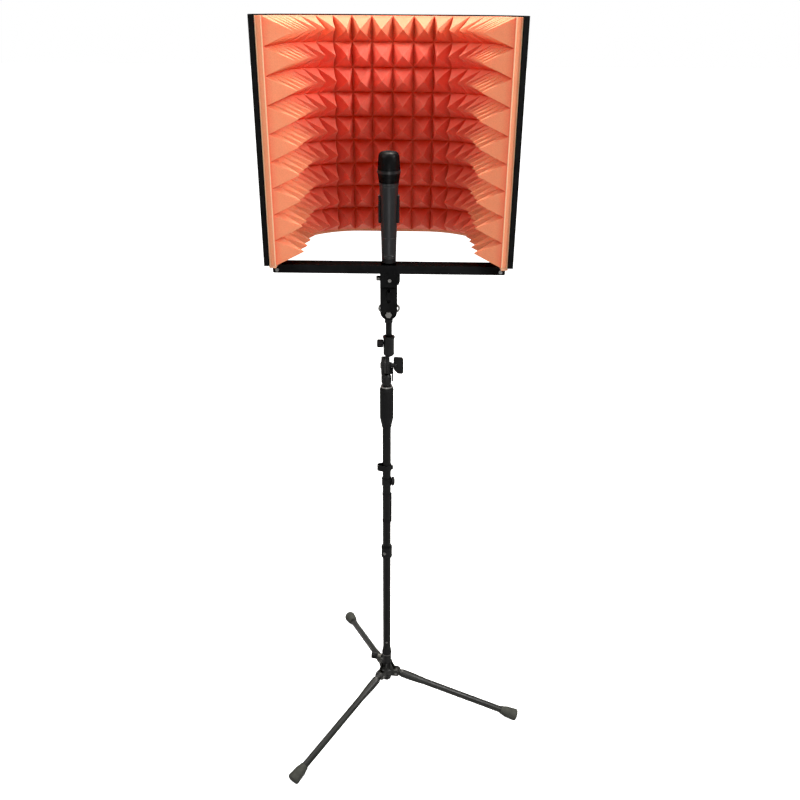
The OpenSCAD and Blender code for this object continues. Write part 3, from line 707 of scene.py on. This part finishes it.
# The woven wire in mm: its radius, its spacing and how far it waves, then how far in it and its liner lie
WIRE, PITCH, WEAVE = 0.19, 1.42, 0.17
WIRE_INSET, LINER_INSET = 0.45, 1.15
WIRE_SIDES, WIRES_AROUND = 5, 106


def grooved(points, grooves):
    """A turned profile in mm with V grooves of (height, depth, half width) cut into it."""
    heights = sorted({h for _, h in points} | {g[0] + e for g in grooves for e in (-g[2], 0.0, g[2])})
    rows = []
    for h in heights:
        for (r0, h0), (r1, h1) in zip(points, points[1:]):
            if h0 <= h <= h1 and h1 > h0:
                radius = r0 + (r1 - r0) * (h - h0) / (h1 - h0)
                break
        for at, deep, half in grooves:
            radius -= deep * max(0.0, 1.0 - abs(h - at) / half)
        rows.append((radius * MM, h * MM))
    return rows


def handle_and_tail():
    """The tapered body with its parting grooves, and the collar at its tail."""
    body = lathe(grooved(BODY_SIDE, BODY_GROOVES), 96, mic_frame)
    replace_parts(mesh_piece("mic_handle", *body, "microphone", "mic_shell", 35.0), "mic_body")
    tail = lathe(grooved(TAIL_SIDE, TAIL_GROOVES), 96, mic_frame)
    mesh_piece("mic_tail_collar", *tail, "microphone", "mic_trim", 35.0)


def shrunk(line, shrink):
    """A profile in mm moved inward: down near the top, sideways lower down."""
    return [(max(r - shrink, 0.3), h - shrink * max(0.0, (h - DOME_FROM) / DOME_TALL)) for r, h in line]


def at_length(line, s):
    """The point that lies a length s along a profile."""
    for (r0, h0), (r1, h1) in zip(line, line[1:]):
        step = math.hypot(r1 - r0, h1 - h0)
        if s <= step:
            return r0 + (r1 - r0) * s / step, h0 + (h1 - h0) * s / step
        s -= step
    return line[-1]


def side_wires():
    """Upright wires woven over and under rings of wire, up the side of the head."""
    parts = []
    line = shrunk(HEAD_SIDE, WIRE_INSET)
    total = sum(math.hypot(b[0] - a[0], b[1] - a[1]) for a, b in zip(line, line[1:]))
    rings = int(total / PITCH)
    levels = [at_length(line, total * (k + 0.5) / rings) for k in range(rings)]

    def on_side(radius, height, q, side):
        r, angle = (radius + side * WEAVE) * MM, 2 * math.pi * q / WIRES_AROUND
        return mic_frame @ Vector((r * math.cos(angle), r * math.sin(angle), height * MM))

    for q in range(WIRES_AROUND):
        points = [on_side(*line[0], q, 0)]
        points += [on_side(r, h, q, 1 if (q + k) % 2 else -1) for k, (r, h) in enumerate(levels)]
        points.append(on_side(*line[-1], q, 0))
        parts.append(tube_path(points, WIRE * MM, WIRE_SIDES))
    for k, (r, h) in enumerate(levels):
        points = [on_side(r, h, q, -1 if (q + k) % 2 else 1) for q in range(WIRES_AROUND)]
        parts.append(tube_path(points, WIRE * MM, WIRE_SIDES, closed=True))
    return parts


def top_wires():
    """The woven grid over the top of the head, its wires running both ways."""
    parts = []
    top = shrunk(HEAD_TOP, WIRE_INSET)
    rim = top[0][0]
    count = int(2 * rim / PITCH)
    marks = [(m - (count - 1) / 2) * PITCH for m in range(count)]

    def on_top(x, y, side):
        rho = math.hypot(x, y)
        height = top[-1][1] if rho < top[-1][0] else top[0][1]
        for (r0, h0), (r1, h1) in zip(top, top[1:]):
            if r1 <= rho <= r0:
                height = h0 + (h1 - h0) * (r0 - rho) / (r0 - r1)
        return mic_frame @ Vector((x * MM, y * MM, (height + side) * MM))

    for turn in (0, 1):
        for k, x in enumerate(marks):
            reach = math.sqrt(rim * rim - x * x)
            crossed = [y for y in marks if abs(y) < reach - 0.3]
            stops = [-reach] + crossed + [reach]
            first = marks.index(crossed[0])
            points = []
            for m, y in enumerate(stops):
                inside = 0 < m < len(stops) - 1
                side = (1 if (k + first + m + turn) % 2 else -1) * WEAVE if inside else 0.0
                points.append(on_top(y, x, side) if turn else on_top(x, y, side))
            parts.append(tube_path(points, WIRE * MM, WIRE_SIDES))
    return parts


def wire_head():
    """The woven wire head over its dark liner."""
    wires = joined(side_wires() + top_wires())
    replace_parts(mesh_piece("mic_wire_head", *wires, "microphone", "mic_mesh", 80.0), "mic_grille")
    liner = [(r * MM, h * MM) for r, h in shrunk(HEAD_SIDE + HEAD_TOP[1:], LINER_INSET)]
    mesh_piece("mic_head_liner", *lathe(liner, 64, mic_frame), "microphone", "mic_trim", 60.0)


handle_and_tail()
wire_head()

# --------------------------------------------------
# Stand: profiles in mm, heights above the floor, the pole's axis at the origin
# --------------------------------------------------

# The legs' frames: where the pivots are, how far the legs drop below level, and which way each one points
PIVOT_R, PIVOT_Z, LEG_DROP = 28.0, 112.0, 16.9
LEG_TURNS = {"left": 231.0, "right": 351.0, "rear": 111.0}
LEG_BODIES = {"left": "leg_front_left", "right": "leg_front_right", "rear": "leg_back"}

# Turned profiles of a leg's end pieces, as radius and distance from the pivot
FOOT_PROFILE = [(9.1, 314.0), (10.7, 314.3), (11.3, 315.2), (11.4, 319.0), (12.3, 322.4), (13.6, 326.4),
                (14.5, 330.2), (15.0, 334.6), (14.7, 335.4), (15.4, 341.6), (15.1, 342.4), (15.9, 348.6),
                (16.3, 353.0), (16.3, 356.4), (15.7, 358.8), (14.0, 360.6), (10.6, 361.8), (5.0, 362.3),
                (0.5, 362.4)]
ROOT_PROFILE = [(7.0, 10.7), (8.9, 10.8), (9.7, 12.4), (10.8, 15.6), (11.2, 20.0), (11.3, 30.0), (11.2, 42.0),
                (10.9, 52.0), (10.4, 62.0), (9.8, 72.0), (9.3, 82.0), (9.05, 85.0)]

# The hub: a flared skirt, the drum under it, the socket above it, and the flare where the tube comes out
SKIRT_PROFILE = [(17.2, 108.5), (18.6, 109.2), (19.1, 111.0), (19.1, 119.0), (18.7, 120.6), (17.8, 121.8),
                 (16.0, 123.2), (14.3, 125.4), (13.3, 128.4), (12.9, 131.0), (12.3, 131.4)]
DRUM_PROFILE = [(7.4, 84.0), (11.3, 84.0), (13.0, 88.0), (13.2, 99.0), (16.6, 100.4), (17.5, 102.4),
                (17.6, 110.0), (12.0, 111.0)]
SOCKET_PROFILE = [(12.5, 130.0), (12.5, 150.0), (12.7, 150.6), (12.5, 151.2), (12.5, 171.6), (12.9, 172.2),
                  (12.9, 173.9), (10.9, 174.0)]
FLARE_PROFILE = [(12.4, 176.0), (13.2, 176.3), (13.4, 177.4), (13.3, 181.5), (12.5, 186.5), (11.6, 191.0),
                 (11.1, 195.5), (10.6, 196.0)]
BOSS_PROFILE = [(6.3, 8.0), (6.3, 14.7), (5.9, 15.5), (3.4, 15.5)]
CHEEK_WEB = [(10.0, 145.0), (12.6, 143.5), (14.4, 137.6), (16.2, 132.8), (18.0, 128.8), (19.2, 126.2),
             (20.1, 124.2), (21.3, 122.7), (24.0, 122.4)]
CHEEK_FOOT = [(20.0, 101.6), (10.0, 101.4)]
CHEEK_R, CHEEK_IN, CHEEK_OUT = 10.3, 6.28, 10.72
HUB_KNOB_TURN = 171.0

# The clamp's knob, as radius and distance from the pole's axis
DOME_PROFILE = [(3.0, 10.6), (3.0, 12.65), (9.8, 12.7), (11.2, 13.1), (11.8, 14.2), (11.8, 15.4),
                (11.4, 16.8), (10.4, 18.2), (8.6, 19.3), (6.0, 20.1), (3.0, 20.5), (0.4, 20.6)]


def leg_matrix(bearing):
    """The CAD's frame of a leg: +Z here runs along the leg from its pivot to its foot."""
    a, drop = math.radians(bearing), math.radians(LEG_DROP)
    origin = Vector((PIVOT_R * MM * math.cos(a), PIVOT_R * MM * math.sin(a), PIVOT_Z * MM))
    along = Vector((math.cos(drop) * math.cos(a), math.cos(drop) * math.sin(a), -math.sin(drop)))
    side = Vector((-math.sin(a), math.cos(a), 0.0))
    up = along.cross(side)
    return Matrix(((side.x, up.x, along.x, origin.x), (side.y, up.y, along.y, origin.y),
                   (side.z, up.z, along.z, origin.z), (0.0, 0.0, 0.0, 1.0)))


def leg_ends():
    """The rubber cap at each leg's foot, flat where it stands, and the thickened root at its pivot."""
    for side, bearing in LEG_TURNS.items():
        matrix = leg_matrix(bearing)
        vertices, faces = turned(FOOT_PROFILE, 72, matrix)
        for v in vertices:
            v.z = max(v.z, 0.0)
        cap = mesh_piece("foot_cap_" + side, vertices, faces, LEG_BODIES[side], "soft_rubber")
        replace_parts(cap, "foot_" + side)
        root = turned(ROOT_PROFILE, 64, matrix)
        mesh_piece("leg_root_" + side, *root, LEG_BODIES[side], "leg_paint")


def hub_casting():
    """The spider in the legs' paint: a flared skirt with a pair of webbed cheeks for each leg."""
    parts = [turned(SKIRT_PROFILE)]
    arc = [(PIVOT_R + CHEEK_R * math.cos(math.radians(a)), PIVOT_Z + CHEEK_R * math.sin(math.radians(a)))
           for a in range(90, -91, -12)]
    outline = CHEEK_WEB + arc + CHEEK_FOOT
    for bearing in LEG_TURNS.values():
        turn = Matrix.Rotation(math.radians(bearing), 4, "Z")
        for low, high in ((-CHEEK_OUT, -CHEEK_IN), (CHEEK_IN, CHEEK_OUT)):
            parts.append(slab(outline, low, high, lambda a, b, c: turn @ Vector((a, c, b))))
    casting = rounded(mesh_piece("hub_casting", *joined(parts), "base", "leg_paint"), 0.9)
    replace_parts(casting, "hub")


def hub_parts():
    """The black parts of the hub, and the thread of its side screw."""
    knob_low, knob_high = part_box("hub_knob")
    knob_z = (knob_low.z + knob_high.z) / 2
    turn = math.radians(HUB_KNOB_TURN)
    out = Vector((math.cos(turn), math.sin(turn), 0.0))
    thread("hub_screw_thread", Vector((0.0, 0.0, knob_z)) + out * 15.9 * MM, out, 10.6, 3.0, 1.0, "hub_screw",
           "nylon")
    boss = turned(BOSS_PROFILE, 48, frame_along((0.0, 0.0, knob_z), out))
    mesh_piece("hub_drum", *turned(DRUM_PROFILE), "base", "base_black")
    mesh_piece("hub_socket", *joined([turned(SOCKET_PROFILE), boss]), "base", "base_black")
    mesh_piece("socket_flare", *turned(FLARE_PROFILE), "base", "black_plastic")


def pole_beads():
    """The small moulded lips of the clutch, the collar and the clamp."""
    grip_low, grip_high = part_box("clutch_grip")
    low, high, grip_r = grip_low.z / MM, grip_high.z / MM, (grip_high.x - grip_low.x) / 2 / MM
    for k, (z, r) in enumerate(((low + 1.2, 13.25), (low + 5.0, 14.0), (high - 6.8, grip_r - 0.05))):
        ring_bead("clutch_lip_%d" % k, z, r, 0.45, "height_clutch")
    for name, node, inset, r, thick in (("collar_lip_%d", "pole_collar", 5.0, 14.0, 0.5),
                                        ("clamp_lip_%d", "clamp_band", 2.5, 12.4, 0.4)):
        low, high = (corner.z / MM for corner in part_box(node))
        ring_bead(name % 0, low + inset, r, thick, "base")
        ring_bead(name % 1, high - inset, r, thick, "base")


def cable_loop():
    """A flat band that runs round the pole and out to the side, where it holds a cable."""
    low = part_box("cable_clip")[0].z / MM + 5.5
    reach, wide, narrow, thick, tall, count = 16.4, 12.6, 7.4, 1.9, 16.0, 72
    turn_at = -(wide - narrow) / reach
    vertices, faces = [], []
    for k in range(count):
        a = 2 * math.pi * k / count
        x, y = math.cos(a), math.sin(a)
        centre, radius = (-reach, narrow) if x < turn_at else (0.0, wide)
        for inset, z in ((0.0, low), (0.0, low + tall), (thick, low + tall), (thick, low)):
            vertices.append(((centre + (radius - inset) * x) * MM, (radius - inset) * y * MM, z * MM))
    for k in range(count):
        n = (k + 1) % count
        faces += [(4 * k + q, 4 * k + (q + 1) % 4, 4 * n + (q + 1) % 4, 4 * n + q) for q in range(4)]
    tab = slab([(12.0, -3.0), (15.6, -2.6), (16.2, -1.6), (16.2, 1.6), (15.6, 2.6), (12.0, 3.0)],
               low + 3.0, low + 13.0, lambda a, b, c: Vector((a, b, c)))
    piece = mesh_piece("cable_loop", *joined([(vertices, faces), tab]), "cable_hook", "black_plastic")
    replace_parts(piece, "cable_clip")
    rounded(piece, 0.45, 2)


def clamp_dome_knob():
    """The domed thumb knob of the clamp, with shallow finger dents round it."""
    low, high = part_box("clamp_knob")
    place = frame_along((0.0, 0.0, (low.z + high.z) / 2), (1, 0, 0))
    dents, depth = 10, 0.06
    vertices, faces = turned(DOME_PROFILE, 120)
    for v in vertices:
        dent = depth * max(0.0, math.cos(dents * math.atan2(v.y, v.x))) ** 6
        v.x, v.y = v.x * (1.0 - dent), v.y * (1.0 - dent)
    vertices = [place @ v for v in vertices]
    knob = mesh_piece("clamp_dome_knob", vertices, faces, "band_screw", "black_plastic")
    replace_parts(knob, "clamp_knob")


def tilt_joint():
    """The steel spring ring between the discs, and the tongue below the holder's cheek."""
    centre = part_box("rod_holder")[0].z + 21 * MM
    ring = turned([(19.7, -3.36), (21.7, -3.5), (22.0, -3.1), (21.7, -2.7), (19.7, -2.84)], 96,
                  frame_along((0.0, 0.0, centre), (1, 0, 0)))
    mesh_piece("swivel_spring_ring", *ring, "tilt_head", "grey_steel")
    half = [(9.2, -9.0), (9.0, -30.0), (7.6, -36.5), (4.2, -40.2)]
    tongue = half + [(0.0, -41.2)] + [(-y, z) for y, z in reversed(half)]
    root = [(7.0, -9.5), (7.0, -20.0), (-7.0, -20.0), (-7.0, -9.5)]
    parts = [slab(outline, start, end, lambda a, b, c: Vector((c, a, centre + b)))
             for outline, start, end in ((tongue, 12.2, 15.6), (root, 6.0, 13.0))]
    rounded(mesh_piece("holder_tongue", *joined(parts), "tilt_head", "black_plastic"), 0.8)


def bracket_thread():
    """The thread that shows at the wing nut's end of the bracket bolt."""
    low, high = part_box("hex_bolt")
    start = ((low.x + high.x) / 2, high.y - 2.0 * MM, (low.z + high.z) / 2)
    thread("hex_bolt_thread", start, (0, 1, 0), 1.7, 3.7, 0.9, "booth", "bright_steel")


leg_ends()
hub_casting()
hub_parts()
pole_beads()
cable_loop()
clamp_dome_knob()
tilt_joint()
bracket_thread()

# --------------------------------------------------
# Edge strip of the shield
# --------------------------------------------------

LIP_DEPTHS, LIP_R, LIP_OUT = (-PANEL - 0.9 * MM, 1.3 * MM), 0.7 * MM, 3.2 * MM


def trim_lips():
    """Raised lips down the front ends of the strip, and beads along its top."""
    low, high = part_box("edge_trim")
    for side, name in ((-1, "left"), (1, "right")):
        for k, depth in enumerate(LIP_DEPTHS):
            line = [plan(side * (RUN + LIP_OUT), depth, low.z + (high.z - low.z) * j / 24)
                    for j in range(25)]
            mesh_piece("trim_lip_%s_%d" % (name, k), *tube_path(line, LIP_R), "booth", "edge_rubber", 80.0)
    for k, depth in enumerate(LIP_DEPTHS):
        line = [plan(RUN * (2 * j / 160 - 1), depth, high.z - 0.3 * MM) for j in range(161)]
        mesh_piece("trim_top_lip_%d" % k, *tube_path(line, LIP_R), "booth", "edge_rubber", 80.0)


trim_lips()

# --------------------------------------------------
# Finishes of the carried-over CAD nodes
# --------------------------------------------------

# Bevel widths in mm of the nodes whose edges are softened
SOFTENED = {"cross_bar": 0.7, "bracket_front": 0.5, "bracket_rear": 0.5, "bracket_block": 0.5,
            "bracket_cap": 0.5, "clip_plate": 0.5, "corner_left": 0.5, "corner_right": 0.5, "t_knob": 0.9,
            "swivel_block": 0.4, "rod_holder": 0.4, "clip_base": 0.5, "clip_cradle": 0.5, "leg_left": 0.5,
            "leg_right": 0.5, "leg_rear": 0.5, "wing_nut": 0.5, "hex_bolt": 0.4, "boom_rod": 0.4,
            "cross_bolt": 0.3, "cross_nut": 0.3, "clutch_ring": 0.3, "hub_ring": 0.3}

# Nodes whose finish isn't their slot's usual one
DULLED = {"hex_bolt": "grey_steel", "cap_screw": "grey_steel", "hub_ring": "grey_steel",
          "bar_screw_left": "grey_steel", "bar_screw_right": "grey_steel", "mic_ring": "mic_trim"}


def soften(node, width):
    """Small rounded edges on a carried-over CAD node."""
    weld = node.modifiers.new("weld", "WELD")
    weld.merge_threshold = 0.002 * MM
    rounded(node, width, 2)


for name, node in nodes.items():
    if name not in slot_of:
        continue
    node.data.materials.clear()
    node.data.materials.append(MATERIALS[DULLED.get(name, slot_of[name])])
    if name in SOFTENED:
        soften(node, SOFTENED[name])

# --------------------------------------------------
# Stage: floor, light and camera
# --------------------------------------------------


def stage_floor():
    """A floor that the camera sees as white paper and that throws little light back up."""
    mesh = bpy.data.meshes.new("floor")
    mesh.from_pydata([(-30, -30, 0), (30, -30, 0), (30, 30, 0), (-30, 30, 0)], [], [(0, 1, 2, 3)])
    floor = bpy.data.objects.new("floor", mesh)
    scene.collection.objects.link(floor)
    g = Graph("pale_floor")
    seen = g.add("ShaderNodeLightPath").outputs["Is Camera Ray"]
    shade = g.mix(seen, (0.35, 0.35, 0.35), (0.86, 0.86, 0.86))
    g.finish(shade, 0.8, 0.0, None, Specular_IOR_Level=0.0, Emission_Color=(1.0, 1.0, 1.0, 1.0),
             Emission_Strength=g.remap(seen, 0.0, 1.0, 0.03, 0.95))
    floor.data.materials.append(g.material)


def stage_world():
    """A sky that the camera sees as white and that lights the object mostly from overhead."""
    world = bpy.data.worlds.new("studio")
    scene.world = world
    world.use_nodes = True
    tree = world.node_tree
    tree.nodes.clear()
    out, seen, lit, coords, split, ramp, path, mix = [tree.nodes.new("ShaderNode" + kind) for kind in (
        "OutputWorld", "Background", "Background", "TexCoord", "SeparateXYZ", "MapRange", "LightPath",
        "MixShader")]
    seen.inputs["Color"].default_value = (1.0, 1.0, 1.0, 1.0)
    seen.inputs["Strength"].default_value = 1.0
    lit.inputs["Color"].default_value = (1.0, 0.99, 0.975, 1.0)
    for key, value in zip(("From Min", "From Max", "To Min", "To Max"), (0.35, 0.95, AMBIENT, OVERHEAD)):
        ramp.inputs[key].default_value = value
    for source, target in ((coords.outputs["Generated"], split.inputs[0]),
                           (split.outputs["Z"], ramp.inputs["Value"]),
                           (ramp.outputs["Result"], lit.inputs["Strength"]),
                           (path.outputs["Is Camera Ray"], mix.inputs[0]),
                           (lit.outputs[0], mix.inputs[1]),
                           (seen.outputs[0], mix.inputs[2]),
                           (mix.outputs[0], out.inputs[0])):
        tree.links.new(source, target)


def area_light(name, place, target, size, power, colour):
    """A round lamp at a place, aimed at a target."""
    light = bpy.data.lights.new(name, "AREA")
    light.shape = "DISK"
    light.size = size
    light.energy = power
    light.color = colour
    obj = bpy.data.objects.new(name, light)
    scene.collection.objects.link(obj)
    obj.location = place
    obj.rotation_euler = (target - place).to_track_quat("-Z", "Y").to_euler()


def stage_camera():
    """The camera, placed from the shield's opening and its bar, and turned by yaw, pitch and roll."""
    camera = bpy.data.objects.new("camera", bpy.data.cameras.new("camera"))
    scene.collection.objects.link(camera)
    scene.camera = camera
    camera.data.sensor_width = 36.0
    camera.data.lens = LENS
    forward = Vector((math.sin(YAW) * math.cos(PITCH), math.cos(YAW) * math.cos(PITCH), -math.sin(PITCH)))
    level = Vector((math.cos(YAW), -math.sin(YAW), 0.0))
    upward = level.cross(forward)
    right = math.cos(ROLL) * level + math.sin(ROLL) * upward
    up = -math.sin(ROLL) * level + math.cos(ROLL) * upward
    eye = Vector((MID_X + EYE_RIGHT, shell_low.y - EYE_AHEAD, bar_high.z + EYE_ABOVE))
    camera.matrix_world = Matrix((
        (right.x, up.x, -forward.x, eye.x),
        (right.y, up.y, -forward.y, eye.y),
        (right.z, up.z, -forward.z, eye.z),
        (0.0, 0.0, 0.0, 1.0)))


# The sky's strength below and overhead, and each lamp's place and target from the middle of the shield
AMBIENT, OVERHEAD = 0.045, 0.95
WHITE, WARM = (1.0, 1.0, 1.0), (1.0, 0.96, 0.88)
LAMPS = (("key_above_behind", (0.05, 1.15, 1.9), (0.0, 0.0, 0.0), 0.8, 98.0, WARM),
         ("fill_right", (2.2, -1.35, 1.4), (0.0, 0.0, 0.0), 1.1, 80.0, WHITE),
         ("fill_left", (-2.2, -1.35, 1.4), (0.0, 0.0, 0.0), 1.1, 43.0, WHITE),
         ("fill_front", (0.2, -2.6, -0.6), (0.0, 0.0, -0.9), 1.0, 8.0, WHITE))

# The lens in mm, the camera's turns, and its place from the shield's opening and the bar's top, in metres
LENS = 36.71
YAW, PITCH, ROLL = math.radians(-0.87), math.radians(25.46), math.radians(0.42)
EYE_RIGHT, EYE_AHEAD, EYE_ABOVE = 0.0539, 1.7307, 0.506

shield = Vector((MID_X, (shell_low.y + shell_high.y) / 2, (shell_low.z + shell_high.z) / 2))
stage_floor()
stage_world()
for name, place, target, size, power, colour in LAMPS:
    area_light(name, shield + Vector(place), shield + Vector(target), size, power, colour)
stage_camera()

scene.view_settings.view_transform = "Standard"
scene.view_settings.look = "None"
scene.view_settings.use_curve_mapping = True
scene.view_settings.curve_mapping.black_level = (0.004, 0.004, 0.004)
